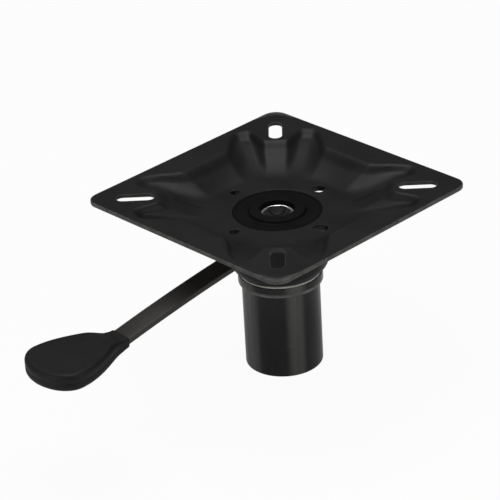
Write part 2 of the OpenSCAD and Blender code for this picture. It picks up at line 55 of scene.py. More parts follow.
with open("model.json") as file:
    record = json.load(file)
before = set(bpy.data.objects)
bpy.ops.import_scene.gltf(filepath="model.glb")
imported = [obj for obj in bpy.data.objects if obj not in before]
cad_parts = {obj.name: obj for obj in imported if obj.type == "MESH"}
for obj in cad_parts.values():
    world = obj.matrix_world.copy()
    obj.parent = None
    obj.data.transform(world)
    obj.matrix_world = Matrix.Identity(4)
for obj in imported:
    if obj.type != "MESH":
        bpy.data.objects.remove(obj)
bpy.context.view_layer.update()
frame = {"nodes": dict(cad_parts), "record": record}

MM = 0.001
PLATE_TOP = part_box("top_plate")[1].z
# Turns what is made along -Y to the lever's side
LEVER_SIDE = Matrix.Rotation(math.radians(-45), 4, "Z")
# Points closer than the first are joined. A radius below the second lies on the axis
JOINED, ON_AXIS = 1e-6, 1e-7


# Shapes in the plane, as lines of points. Closed ones run anticlockwise

def arc(centre, radius, start, end, steps):
    """Points of an arc, angles in degrees, both ends included."""
    angles = [math.radians(start + (end - start) * i / steps) for i in range(steps + 1)]
    return [Vector((centre[0] + radius * math.cos(a), centre[1] + radius * math.sin(a))) for a in angles]


def spaced(line, spacing, closed=True):
    """The same line with extra points on its long stretches."""
    ends = line[1:] + line[:1] if closed else line[1:]
    points = []
    for a, b in zip(line, ends):
        count = max(1, round((b - a).length / spacing))
        points.extend(a.lerp(b, k / count) for k in range(count))
    return points if closed else points + [line[-1]]


def round_box(width, height, radius, steps=10):
    """Outline of a rectangle with round corners, sides along X and Y."""
    loop = []
    for k, (sx, sy) in enumerate(((1, 1), (-1, 1), (-1, -1), (1, -1))):
        corner = (sx * (width / 2 - radius), sy * (height / 2 - radius))
        loop.extend(arc(corner, radius, 90 * k, 90 * k + 90, steps))
    return loop


def slot_outline(length, width, steps=12):
    """Outline of a slot that runs along X."""
    half = (length - width) / 2
    return arc((half, 0), width / 2, -90, 90, steps) + arc((-half, 0), width / 2, 90, 270, steps)


def turned(loop, degrees, shift=(0, 0)):
    """The loop moved by shift, then turned about the origin."""
    turn = Matrix.Rotation(math.radians(degrees), 2)
    return [turn @ (p + Vector(shift)) for p in loop]


def rounded_edge(radius, steps):
    """Steps round an edge from a face to the side, each as (inset from the side, depth below the face)."""
    turns = [math.pi / 2 * k / steps for k in range(steps + 1)]
    return [(radius * (1 - math.sin(a)), radius * (1 - math.cos(a))) for a in turns]


def eased(share):
    """A smooth step from 0 to 1, held at both ends."""
    held = min(1.0, max(0.0, share))
    return held * held * (3 - 2 * held)


# Meshes

def linked(data, name):
    """A new object at the origin that holds a mesh, a lamp or a camera."""
    piece = bpy.data.objects.new(name, data)
    bpy.context.scene.collection.objects.link(piece)
    return piece


def mesh_object(name, points, faces, material):
    """An object from points and faces, its faces smooth up to 40 degrees and pointing outwards."""
    mesh = bpy.data.meshes.new(name)
    mesh.from_pydata([tuple(p) for p in points], [], faces)
    joined = bmesh.new()
    joined.from_mesh(mesh)
    bmesh.ops.remove_doubles(joined, verts=joined.verts, dist=JOINED)
    bmesh.ops.recalc_face_normals(joined, faces=joined.faces)
    joined.to_mesh(mesh)
    joined.free()
    mesh.shade_smooth()
    mesh.set_sharp_from_angle(angle=math.radians(40))
    mesh.materials.append(material)
    return linked(mesh, name)


def mark_rim(piece, share):
    """Marks the edges whose paint is drawn lighter, as rubbed paint and as a painted highlight line. The rule
    gives each point's share, from 0 to 1.
    """
    rim = piece.data.attributes.new("rim", "FLOAT", "POINT")
    rim.data.foreach_set("value", [float(share(v.co)) for v in piece.data.vertices])


def place(piece, matrix):
    """Moves a piece's mesh, so that its object stays at the origin."""
    piece.data.transform(matrix)
    piece.data.update()


def filleted(corners, steps=5):
    """A profile of (r, z) points from corners (r, z, fillet radius), each rounded by its fillet."""
    nearly_straight = math.radians(89)
    points = []
    for i, (r, z, fillet) in enumerate(corners):
        here = Vector((r, z))
        back = (Vector(corners[i - 1][:2]) - here).normalized()
        ahead = (Vector(corners[(i + 1) % len(corners)][:2]) - here).normalized()
        half = back.angle(ahead) / 2
        if fillet <= 0 or half > nearly_straight:
            points.append(here)
            continue
        reach = fillet / math.tan(half)
        centre = here + (back + ahead).normalized() * (fillet / math.sin(half))
        start = (here + back * reach) - centre
        end = (here + ahead * reach) - centre
        sweep = start.angle_signed(end)
        points.extend(centre + Matrix.Rotation(-sweep * k / steps, 2) @ start for k in range(steps + 1))
    return points


def revolved(name, corners, material, steps=144, fillet_steps=5):
    """A turned piece: a closed profile of corners (r, z, fillet radius), swept round the Z axis."""
    profile = filleted(corners, fillet_steps)
    points, faces = [], []
    count = len(profile)
    for i in range(steps):
        a = 2 * math.pi * i / steps
        points.extend((r * math.cos(a), r * math.sin(a), z) for r, z in profile)
        here, after = i * count, ((i + 1) % steps) * count
        for k in range(count):
            ahead = (k + 1) % count
            if max(profile[k][0], profile[ahead][0]) > ON_AXIS:
                faces.append((here + k, here + ahead, after + ahead, after + k))
    return mesh_object(name, points, faces, material)


def skin(rows, count, first=0):
    """Faces that join rows of points, each a closed ring of count points."""
    faces = []
    for n in range(rows - 1):
        for k in range(count):
            a, b = first + n * count + k, first + n * count + (k + 1) % count
            faces.append((a, b, b + count, a + count))
    return faces


def lofted(name, rings, material):
    """A skin over rings with equal counts of points, with flat ends."""
    count, last = len(rings[0]), (len(rings) - 1) * len(rings[0])
    faces = skin(len(rings), count) + [tuple(range(count)), tuple(last + k for k in range(count))]
    return mesh_object(name, [p for ring in rings for p in ring], faces, material)


def settle(piece):
    """Turns a piece with modifiers into a plain mesh without them."""
    bpy.context.view_layer.update()
    evaluated = piece.evaluated_get(bpy.context.evaluated_depsgraph_get())
    mesh = bpy.data.meshes.new_from_object(evaluated)
    mesh.name = piece.name
    piece.modifiers.clear()
    piece.data = mesh
    return piece


def cut(piece, tool):
    """Takes the tool's solid out of the piece, and deletes the tool."""
    boolean = piece.modifiers.new("cut", "BOOLEAN")
    boolean.operation = "DIFFERENCE"
    boolean.solver = "EXACT"
    boolean.object = tool
    settle(piece)
    bpy.data.objects.remove(tool)


# Node trees

class Tree:
    """Adds nodes to a node tree and joins them."""

    def __init__(self, tree):
        self.tree = tree

    def join(self, value, socket):
        """Joins another node's output to a socket, or sets the socket to a value."""
        if isinstance(value, bpy.types.NodeSocket):
            self.tree.links.new(value, socket)
        elif value is not None:
            socket.default_value = value

    def node(self, kind, inputs=None, **settings):
        """A new node. Inputs map a socket's name or number to a value or to another node's output."""
        made = self.tree.nodes.new(kind)
        for name, value in settings.items():
            setattr(made, name, value)
        for socket, value in (inputs or {}).items():
            self.join(value, made.inputs[socket])
        return made

    def math(self, operation, *values):
        """The output of a Math node."""
        return self.node("ShaderNodeMath", dict(enumerate(values)), operation=operation).outputs[0]

    def times(self, first, *others):
        """The product of two or more values."""
        for value in others:
            first = self.math("MULTIPLY", first, value)
        return first

    def plus(self, first, second):
        """The sum of two values."""
        return self.math("ADD", first, second)

    def minus(self, first, second):
        """The first value less the second."""
        return self.math("SUBTRACT", first, second)

    def smooth(self, value, low, high, out_low=0.0, out_high=1.0):
        """The output of a Map Range node with a smooth step."""
        ends = {0: value, 1: low, 2: high, 3: out_low, 4: out_high}
        return self.node("ShaderNodeMapRange", ends, interpolation_type="SMOOTHSTEP").outputs[0]

    def here(self):
        """The Object coordinates."""
        return self.node("ShaderNodeTexCoord").outputs["Object"]

    def scale_of(self, size):
        """The scale of a texture whose features have a size in millimetres."""
        return self.math("DIVIDE", 1000.0, size)

    def stretched(self, spot, factors):
        """Coordinates times a factor for each axis."""
        return self.node("ShaderNodeVectorMath", {0: spot, 1: factors}, operation="MULTIPLY").outputs[0]

    def noise(self, spot, scale, detail, roughness=0.5):
        """The output of a Noise Texture node."""
        inputs = {"Vector": spot, "Scale": scale, "Detail": detail, "Roughness": roughness}
        return self.node("ShaderNodeTexNoise", inputs).outputs[0]

    def mix(self, mask, first, second):
        """The output of a colour mix: first where the mask is 0, second where it is 1."""
        a, b = (c if isinstance(c, bpy.types.NodeSocket) else (*c, 1.0) for c in (first, second))
        return self.node("ShaderNodeMix", {0: mask, 6: a, 7: b}, data_type="RGBA").outputs[2]

    def end_geometry(self, geometry, given, out):
        """Makes the geometry real, gives it its finish and joins it to the group's output."""
        real = self.node("GeometryNodeRealizeInstances", {0: geometry}).outputs[0]
        done = self.node("GeometryNodeSetMaterial", {"Geometry": real, "Material": given["Finish"]})
        self.join(done.outputs[0], out.inputs[0])


def group(name, kind, inputs, outputs):
    """An empty node group. Inputs map a socket's name to its kind and default, outputs to its kind."""
    made = bpy.data.node_groups.new(name, kind)
    for label, (socket, default) in inputs.items():
        item = made.interface.new_socket(label, in_out="INPUT", socket_type="NodeSocket" + socket)
        if default is not None:
            item.default_value = default
    for label, socket in outputs.items():
        made.interface.new_socket(label, in_out="OUTPUT", socket_type="NodeSocket" + socket)
    tree = Tree(made)
    return made, tree, tree.node("NodeGroupInput").outputs, tree.node("NodeGroupOutput")


def shader_group(name, defaults, results):
    """An empty group for shaders. Defaults map its inputs' names to numbers or vectors."""
    inputs = {label: ("Vector" if isinstance(value, tuple) else "Float", value)
              for label, value in defaults.items()}
    return group(name, "ShaderNodeTree", inputs, dict.fromkeys(results, "Float"))


def run_nodes(piece, nodes, values):
    """Runs a Geometry Nodes group on a piece, with its named inputs set, and keeps the plain mesh."""
    modifier = piece.modifiers.new(nodes.name, "NODES")
    modifier.node_group = nodes
    for item in nodes.interface.items_tree:
        if item.item_type == "SOCKET" and item.in_out == "INPUT" and item.name in values:
            modifier[item.identifier] = values[item.name]
    return settle(piece)


# Shader groups that several finishes share

def paint_skin_group():
    """Texture of sprayed or baked paint: its height, a mottle mask and a fine speckle."""
    made, tree, given, out = shader_group(
        "paint_skin", {"Grain size": 0.6, "Mottle size": 25.0}, ("Height", "Mottle", "Speckle"))
    here, scale = tree.here(), tree.scale_of(given["Grain size"])
    grain = tree.noise(here, scale, 2.0)
    wave = tree.noise(here, tree.times(scale, 0.3), 1.0)
    mottle = tree.noise(here, tree.scale_of(given["Mottle size"]), 4.0, 0.6)
    speckle = tree.node("ShaderNodeTexVoronoi", {"Vector": here, "Scale": tree.times(scale, 0.6)})
    tree.join(tree.plus(tree.times(grain, 0.5), wave), out.inputs["Height"])
    tree.join(tree.smooth(mottle, 0.35, 0.65), out.inputs["Mottle"])
    tree.join(tree.smooth(speckle.outputs["Distance"], 0.12, 0.02), out.inputs["Speckle"])
    return made


def edge_wear_and_highlight_group():
    """Where edges are drawn lighter, as rubbed paint and as painted highlight lines: strongest on the edges
    that the mesh marks, broken up by noise.
    """
    made, tree, given, out = shader_group("rubbed_edges", {"Amount": 0.5, "Patch size": 4.0}, ("Mask",))
    marked = tree.node("ShaderNodeAttribute", attribute_name="rim").outputs["Fac"]
    patch = tree.noise(tree.here(), tree.scale_of(given["Patch size"]), 5.0)
    broken = tree.smooth(patch, 0.38, 0.62, 0.6, 1.0)
    tree.join(tree.times(tree.smooth(marked, 0.55, 0.95), broken, given["Amount"]), out.inputs["Mask"])
    return made


def reflection_band_group():
    """Lengthwise lighter bands of painted reflection round the spigot, set by angle where streaks of
    reflected light fall on it.
    """
    made, tree, given, out = shader_group(
        "slid_bands", {"Amount": 0.5, "Ribs": 5.0, "First rib": -70.0, "Streak size": 1.5}, ("Mask",))
    here, scale = tree.here(), tree.scale_of(given["Streak size"])
    spot = tree.node("ShaderNodeSeparateXYZ", {0: here}).outputs
    turn = tree.minus(tree.math("ARCTAN2", spot[1], spot[0]), tree.math("RADIANS", given["First rib"]))
    wave = tree.math("COSINE", tree.times(turn, given["Ribs"]))
    drawn = tree.stretched(here, (1.0, 1.0, 0.02))
    streak = tree.noise(drawn, scale, 2.0)
    drift = tree.noise(drawn, tree.times(scale, 0.08), 1.0)
    level = tree.plus(wave, tree.times(tree.minus(drift, 0.5), 1.6))
    bands, lines = tree.smooth(level, -0.1, 1.0), tree.smooth(streak, 0.25, 0.75, 0.7, 1.0)
    tree.join(tree.times(bands, lines, given["Amount"]), out.inputs["Mask"])
    return made


def brushed_group():
    """Fine lathe or rolling marks, drawn out along one axis of the piece."""
    made, tree, given, out = shader_group(
        "brush_marks", {"Stretch": (1.0, 1.0, 12.0), "Mark size": 0.5}, ("Height", "Mask"))
    here, scale = tree.here(), tree.scale_of(given["Mark size"])
    marks = tree.noise(tree.stretched(here, given["Stretch"]), scale, 3.0)
    stain = tree.noise(here, tree.times(scale, 0.1), 3.0)
    tree.join(marks, out.inputs["Height"])
    tree.join(tree.smooth(stain, 0.35, 0.7), out.inputs["Mask"])
    return made


# Finishes. Grain sizes and depths are in millimetres, and colours are linear

# In each paint, an amount and a colour draw the marked edges lighter: rubbed paint together with painted
# highlight lines.
PAINTS = {
    "plate_paint": dict(roughness=0.46, specular=0.28, wear=0.7, worn=(0.12, 0.12, 0.115), grain=0.7,
                        grain_depth=0.012),
    "housing_paint": dict(roughness=0.36, specular=0.16, wear=0.1, worn=(0.16, 0.16, 0.165)),
    # The spigot's paint also carries lengthwise bands of painted reflection in a lighter colour.
    "tube_paint": dict(roughness=0.22, specular=0.22, wear=0.8, worn=(0.22, 0.22, 0.21), grain=1.6,
                       grain_depth=0.003, slid=(0.09, 0.09, 0.086)),
    "lever_paint": dict(roughness=0.42, specular=0.4, wear=0.2, worn=(0.1, 0.095, 0.09)),
}
PLASTICS = {
    "cover_plastic": dict(roughness=0.6, specular=0.08),
    "grip_plastic": dict(roughness=0.55, specular=0.25, grain=1.1, grain_depth=0.08),
    "nylon": dict(colour=(0.4, 0.39, 0.35), roughness=0.4, grain=0.8),
    "pad_lining": dict(colour=(0.09, 0.06, 0.045), roughness=0.8, grain=0.9, grain_depth=0.08),
}
METALS = {
    "zinc": dict(colour=(0.85, 0.85, 0.84), roughness=0.16, stain=(0.78, 0.77, 0.73)),
    "bare_steel": dict(colour=(0.42, 0.42, 0.43), roughness=0.3, stain=(0.3, 0.28, 0.25)),
    "dark_steel": dict(colour=(0.045, 0.045, 0.047), roughness=0.4, stain=(0.034, 0.032, 0.03)),
}
FINISHES = {}


def emptied(block):
    """The tree of a new material or world, without its first nodes."""
    block.use_nodes = True
    block.node_tree.nodes.clear()
    return Tree(block.node_tree)


def finish_material(name):
    """An empty material with its tree, a Principled BSDF and the output joined."""
    made = bpy.data.materials.new(name)
    tree = emptied(made)
    shader = tree.node("ShaderNodeBsdfPrincipled")
    tree.node("ShaderNodeOutputMaterial", {"Surface": shader.outputs[0]})
    return made, tree, shader


def shared_group(tree, nodes, values=None):
    """The outputs of a shared node group that is placed in a material with its own values."""
    return tree.node("ShaderNodeGroup", values, node_tree=nodes).outputs


def lightened(colour, gain, lift=0.0):
    """A lighter shade of a colour."""
    return [min(1.0, c * gain + lift) for c in colour]


def coat(tree, shader, base, roughness, mask, spread):
    """Joins a colour to the shader, and a roughness that rises by spread where the mask is 1."""
    tree.join(base, shader.inputs["Base Color"])
    tree.join(tree.plus(tree.times(mask, spread), roughness), shader.inputs["Roughness"])


def bump(tree, shader, height, strength, depth):
    """Joins a height to the shader's normal. Depth is in millimetres."""
    made = tree.node("ShaderNodeBump", {"Height": height, "Strength": strength, "Distance": depth * MM})
    tree.join(made.outputs[0], shader.inputs["Normal"])


def painted(name, shared, colour, roughness, specular, wear, worn, grain=0.6, grain_depth=0.01, slid=None):
    """Painted steel: baked paint with its grain, a slight mottle, marked edges drawn lighter as rubbed paint
    and painted highlight, and lengthwise bands of painted reflection.
    """
    made, tree, shader = finish_material(name)
    paint = shared_group(tree, shared["skin"], {"Grain size": grain, "Mottle size": 30.0})
    rubbed = shared_group(tree, shared["rubbed"], {"Amount": wear, "Patch size": 6.0})
    base = tree.mix(paint["Mottle"], colour, lightened(colour, 1.35, 0.002))
    base = tree.mix(tree.times(paint["Speckle"], 0.25), base, lightened(colour, 2.2))
    # Rubbed paint and painted highlight: the marked edges take the lighter edge colour.
    base = tree.mix(rubbed["Mask"], base, worn)
    # Painted reflection: lengthwise lighter bands round the spigot, where a colour for them is given.
    if slid:
        base = tree.mix(shared_group(tree, shared["slid"], {"Amount": 1.0})["Mask"], base, slid)
    coat(tree, shader, base, roughness, paint["Mottle"], 0.06)
    bump(tree, shader, paint["Height"], 0.6, grain_depth)
    tree.join(specular, shader.inputs["Specular IOR Level"])
    return made


def moulded(name, shared, colour, roughness, grain=0.35, grain_depth=0.02, specular=0.4):
    """Moulded plastic with a fine spark-eroded grain."""
    made, tree, shader = finish_material(name)
    paint = shared_group(tree, shared["skin"], {"Grain size": grain, "Mottle size": 18.0})
    base = tree.mix(paint["Mottle"], colour, lightened(colour, 1.25, 0.002))
    coat(tree, shader, base, roughness, paint["Mottle"], 0.08)
    bump(tree, shader, paint["Height"], 0.7, grain_depth)
    tree.join(specular, shader.inputs["Specular IOR Level"])
    return made


def metal(name, shared, colour, roughness, stain):
    """Bare or plated steel with fine marks and a slight stain."""
    made, tree, shader = finish_material(name)
    marks = shared_group(tree, shared["brushed"])
    coat(tree, shader, tree.mix(marks["Mask"], colour, stain), roughness, marks["Height"], 0.18)
    bump(tree, shader, marks["Height"], 0.25, 0.01)
    tree.join(1.0, shader.inputs["Metallic"])
    return made


# Properties that a user would change

def length(label, default, about):
    """A length property in metres."""
    return bpy.props.FloatProperty(
        name=label, description=about, default=default, min=0.0, unit="LENGTH", precision=4)


def angle(label, degrees, about):
    """An angle property, given in degrees."""
    return bpy.props.FloatProperty(
        name=label, description=about, default=math.radians(degrees), subtype="ANGLE")


def number(label, default, about):
    """A plain number property."""
    return bpy.props.FloatProperty(name=label, description=about, default=default)


def colour(label, default, about):
    """A colour property."""
    return bpy.props.FloatVectorProperty(
        name=label, description=about, default=default, size=3, min=0.0, max=1.0, subtype="COLOR")


class Colours(bpy.types.PropertyGroup):
    """Colours of the object's finishes, as linear values."""

    plate_paint: colour("Plate paint", (0.0042, 0.0048, 0.004), "Baked paint of the seat plate")
    housing_paint: colour("Housing paint", (0.0055, 0.0055, 0.0055), "Paint of the housing")
    tube_paint: colour("Spigot paint", (0.01, 0.01, 0.0098), "Gloss paint of the spigot")
    lever_paint: colour("Lever paint", (0.021, 0.019, 0.0165), "Paint of the lever's bar")
    cover_plastic: colour("Hub cover", (0.003, 0.003, 0.003), "Moulded plastic of the hub cover")
    grip_plastic: colour("Grip", (0.0048, 0.0048, 0.0048), "Moulded plastic of the grip")


class SWIVEL_OT_finishes(bpy.types.Operator):
    """Makes every material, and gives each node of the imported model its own"""

    bl_idname = "swivel_base.finishes"
    bl_label = "Finishes"

    def execute(self, context):
        shared = {"skin": paint_skin_group(), "rubbed": edge_wear_and_highlight_group(), "slid": reflection_band_group(),
                  "brushed": brushed_group()}
        own = {name: tuple(getattr(context.scene.swivel_colours, name)) for name in Colours.__annotations__}
        for maker, rows in ((painted, PAINTS), (moulded, PLASTICS), (metal, METALS)):
            for name, row in rows.items():
                FINISHES[name] = maker(name, shared, **{"colour": own.get(name), **row})
        for row in frame["record"]["subparts"]:
            slots = frame["nodes"][row["node"]].data.materials
            slots.clear()
            slots.append(FINISHES[row["material_slot"]])
        return {"FINISHED"}


# Seat plate

class PlateSizes(bpy.types.PropertyGroup):
    """Sizes of the pressed seat plate."""

    side: length("Side", 0.17344, "Side of the square plate")
    corner: length("Corner radius", 0.010, "Radius of the plate's corners")
    thickness: length("Thickness", 0.0025, "Thickness of the sheet steel")
    edge_round: length("Edge rounding", 0.0004, "Rounding of every cut edge, under the paint")
    bolt_square: length("Bolt square", 0.127, "Side of the square on which the slots are centred")
    slot_length: length("Slot length", 0.0245, "Length of each slot from end to end")
    slot_width: length("Slot width", 0.0088, "Width of each slot")
    hub_hole: length("Hub hole radius", 0.0286, "Radius of the hole in the middle")
    round_hole_at: length("Round hole circle", 0.0385, "Radius of the circle of the four round holes")
    large_hole: length("Larger hole", 0.009, "Diameter of the two larger round holes")
    small_hole: length("Smaller hole", 0.006, "Diameter of the two smaller round holes")
    punched_depth: length("Punched depth", 0.0014, "Depth of the burr that punching draws under a hole")
    dish_depth: length("Dish depth", 0.0135, "Depth of the pressed dish")
    floor_radius: length("Floor radius", 0.044, "Radius of the dish's flat floor")
    dish_edge: length("Dish edge", 0.067, "Distance of the dish's straight edges from the middle")
    ridge_radius: length("Ridge radius", 0.076, "Radius at which each ridge leaves the border")
    lobe_radius: length("Lobe radius", 0.094, "Radius that the lobes beside each slot reach")
    shoulder_drop: length("Shoulder drop", 0.0032, "Depth of the steep shoulder round the dish")
    shoulder_run: length("Shoulder run", 0.008, "Width of the steep shoulder round the dish")
    ridge_half_angle: angle("Ridge half angle", 5.5, "Half of the angle that a ridge's top spans")
    lobe_from: angle("Lobe from", 12.0, "Angle from the slot's line at which a lobe has its full reach")
    lobe_to: angle("Lobe to", 15.5, "Angle from the slot's line up to which a lobe keeps its reach")
    edge_from: angle("Edge from", 29.5, "Angle from the slot's line at which the straight edge starts")
    spacing: length("Mesh spacing", 0.0015, "Distance between the mesh's points")


PRESSED = (
    "dish_depth", "floor_radius", "dish_edge", "ridge_radius", "lobe_radius", "shoulder_drop", "shoulder_run",
    "ridge_half_angle", "lobe_from", "lobe_to", "edge_from",
)
# One edge of the sheet: its loop for any inset, a point's gap to it, and its share of the lighter edge paint,
# rubbed wear and painted highlight in one
Outline = namedtuple("Outline", "loop gap rubbed")


def press_nodes(values):
    """Geometry Nodes tree that presses a flat blank into the dished plate. Values are its named sizes."""
    inputs = {"Blank": ("Geometry", None), "Finish": ("Material", None)}
    inputs.update((name, ("Float", value)) for name, value in values.items())
    made, tree, given, out = group("press_plate", "GeometryNodeTree", inputs, {"Plate": "Geometry"})
    quarter = math.pi / 2
    wall_part, skirt_power = 0.55, 0.8
    spot = tree.node("ShaderNodeSeparateXYZ", {0: tree.node("GeometryNodeInputPosition").outputs[0]}).outputs
    reach = tree.math("SQRT", tree.plus(tree.times(spot[0], spot[0]), tree.times(spot[1], spot[1])))
    turn = tree.math("WRAP", tree.math("ARCTAN2", spot[1], spot[0]), quarter, 0.0)
    fold = tree.math("MINIMUM", turn, tree.minus(quarter, turn))
    beyond = tree.minus(quarter / 2, tree.math("MAXIMUM", fold, given["Edge from"]))
    edge_line = tree.math("DIVIDE", given["Dish edge"], tree.math("COSINE", beyond))
    lobe = given["Lobe radius"]
    rise = tree.smooth(fold, given["Ridge half angle"], given["Lobe from"], given["Ridge radius"], lobe)
    fall = tree.smooth(fold, given["Lobe to"], given["Edge from"], lobe, edge_line)
    outer = tree.minus(tree.plus(rise, fall), lobe)
    gone = tree.minus(outer, reach)
    share = tree.math("DIVIDE", gone, tree.minus(outer, given["Floor radius"]))
    held = tree.node("ShaderNodeClamp", {0: share}).outputs[0]
    wall = tree.times(tree.smooth(held, 0.0, 1.0), wall_part)
    skirt = tree.times(tree.smooth(tree.math("POWER", held, skirt_power), 0.0, 1.0), 1 - wall_part)
    slope = tree.times(tree.plus(wall, skirt), tree.minus(given["Dish depth"], given["Shoulder drop"]))
    shoulder = tree.smooth(gone, 0.0, given["Shoulder run"], 0.0, given["Shoulder drop"])
    depth = tree.times(tree.plus(slope, shoulder), -1.0)
    offset = tree.node("ShaderNodeCombineXYZ", {2: depth}).outputs[0]
    pressed = tree.node("GeometryNodeSetPosition", {"Geometry": given["Blank"], "Offset": offset})
    tree.end_geometry(pressed.outputs[0], given, out)
    return made


def round_holes(sizes):
    """The four round holes, as (turn in degrees, radius)."""
    return [(90 * k - 45, (sizes.large_hole if k < 2 else sizes.small_hole) / 2) for k in range(4)]


def plate_outlines(sizes):
    """The plate's outer edge first, then every hole. A gap is a point's distance into the metal."""
    corner = sizes.corner
    slot_at = sizes.bolt_square / math.sqrt(2)
    turn_back = Matrix.Rotation(math.radians(45), 2)

    def outer_loop(inset):
        side = sizes.side - 2 * inset
        return turned(spaced(round_box(side, side, corner - inset), sizes.spacing), -45)

    def outer_gap(point):
        p = turn_back @ point
        dx, dy = (abs(c) - (sizes.side / 2 - corner) for c in p)
        return corner - (math.hypot(dx, dy) if dx > 0 and dy > 0 else max(dx, dy))

    def slot_edge(turn):
        def loop(inset):
            grown = slot_outline(sizes.slot_length + 2 * inset, sizes.slot_width + 2 * inset)
            return turned(spaced(grown, sizes.spacing), turn, (slot_at, 0))

        def gap(point):
            p = Matrix.Rotation(math.radians(-turn), 2) @ point
            half = (sizes.slot_length - sizes.slot_width) / 2
            return math.hypot(max(0.0, abs(p.x - slot_at) - half), p.y) - sizes.slot_width / 2

        return Outline(loop, gap, 0.72)

    def round_edge(centre, radius, count):
        def loop(inset):
            return [p + centre for p in arc((0, 0), radius + inset, 0, 360 * (count - 1) / count, count - 1)]

        return Outline(loop, lambda point: (point - centre).length - radius, 0.0)

    # The outer edge takes the full lighter edge paint, the slots less and the round holes none: rubbed paint
    # with a painted highlight line.
    edges = [Outline(outer_loop, outer_gap, 1.0)]
    edges.extend(slot_edge(90 * k) for k in range(4))
    edges.append(round_edge(Vector((0, 0)), sizes.hub_hole, 150))
    for degrees, radius in round_holes(sizes):
        turn = Matrix.Rotation(math.radians(degrees), 2)
        edges.append(round_edge(turn @ Vector((sizes.round_hole_at, 0)), radius, 36))
    return edges


def blank_face(edges, sizes):
    """Flat triangles between the outlines, drawn back from the edges by their rounding."""
    points, sides = [], []
    for edge in edges:
        loop = edge.loop(sizes.edge_round)
        start = len(points)
        sides.extend((start + k, start + (k + 1) % len(loop)) for k in range(len(loop)))
        points.extend(loop)
    half = sizes.side / math.sqrt(2)
    count = int(half / sizes.spacing)
    keep = sizes.edge_round + 0.6 * sizes.spacing
    row = 0.87
    for i in range(-count, count + 1):
        for j in range(-count, count + 1):
            point = Vector(((i + 0.5 * (j % 2)) * sizes.spacing, j * sizes.spacing * row))
            if abs(point.x) + abs(point.y) < half and all(edge.gap(point) > keep for edge in edges):
                points.append(point)
    flat, _, triangles, _, _, _ = delaunay_2d_cdt(points, sides, [], 1, 1e-7)
    kept = []
    for triangle in triangles:
        middle = sum((flat[k] for k in triangle), Vector((0, 0))) / 3
        if all(edge.gap(middle) > 0.5 * sizes.edge_round for edge in edges):
            kept.append(tuple(triangle))
    return flat, kept


def spot_key(point):
    """A point's place to a tenth of a micrometre."""
    return tuple(round(c, 7) for c in point)


def plate_blank(sizes, material):
    """The sheet before pressing: flat, cut to its outline, slotted and drilled, with rounded edges."""
    edges = plate_outlines(sizes)
    flat, triangles = blank_face(edges, sizes)
    top, low = PLATE_TOP, PLATE_TOP - sizes.thickness
    points = [(p.x, p.y, z) for z in (top, low) for p in flat]
    faces = triangles + [tuple(k + len(flat) for k in reversed(t)) for t in triangles]
    steps = rounded_edge(sizes.edge_round, 4)
    stations = [(inset, top - z) for inset, z in steps] + [(inset, low + z) for inset, z in reversed(steps)]
    marked = {}
    for edge in edges:
        rings = [[(p.x, p.y, z) for p in edge.loop(inset)] for inset, z in stations]
        faces.extend(skin(len(rings), len(rings[0]), len(points)))
        rim = [p for ring in rings for p in ring]
        points.extend(rim)
        marked.update((spot_key(p), edge.rubbed) for p in rim)
    blank = mesh_object("seat_plate", points, faces, material)
    # Painted highlight and wear: each edge point carries its share of the lighter edge paint.
    mark_rim(blank, lambda p: marked.get(spot_key(p), 0.0))
    return blank


class SWIVEL_OT_seat_plate(bpy.types.Operator):
    """Cuts the plate's blank and presses it into its dished form"""

    bl_idname = "swivel_base.seat_plate"
    bl_label = "Seat plate"

    def execute(self, context):
        sizes = context.scene.swivel_plate
        paint = FINISHES["plate_paint"]
        values = {name.replace("_", " ").capitalize(): getattr(sizes, name) for name in PRESSED}
        plate = run_nodes(plate_blank(sizes, paint), press_nodes(values), {**values, "Finish": paint})
        floor_low = PLATE_TOP - sizes.dish_depth - sizes.thickness
        tip, root = floor_low - sizes.punched_depth, floor_low + 0.0004
        pieces = [plate]
        for k, (degrees, bore) in enumerate(round_holes(sizes)):
            collar = revolved(f"punched_collar_{k + 1}", [
                (bore, tip, 0.0002), (bore + 0.0009, tip, 0.0003), (bore + 0.0012, root, 0), (bore, root, 0),
            ], paint, steps=36, fillet_steps=3)
            turn = Matrix.Rotation(math.radians(degrees), 4, "Z")
            place(collar, turn @ Matrix.Translation((sizes.round_hole_at, 0, 0)))
            pieces.append(collar)
        for piece in pieces:
            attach(piece, "carrier")
        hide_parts("top_plate")
        return {"FINISHED"}


# Housing and hub

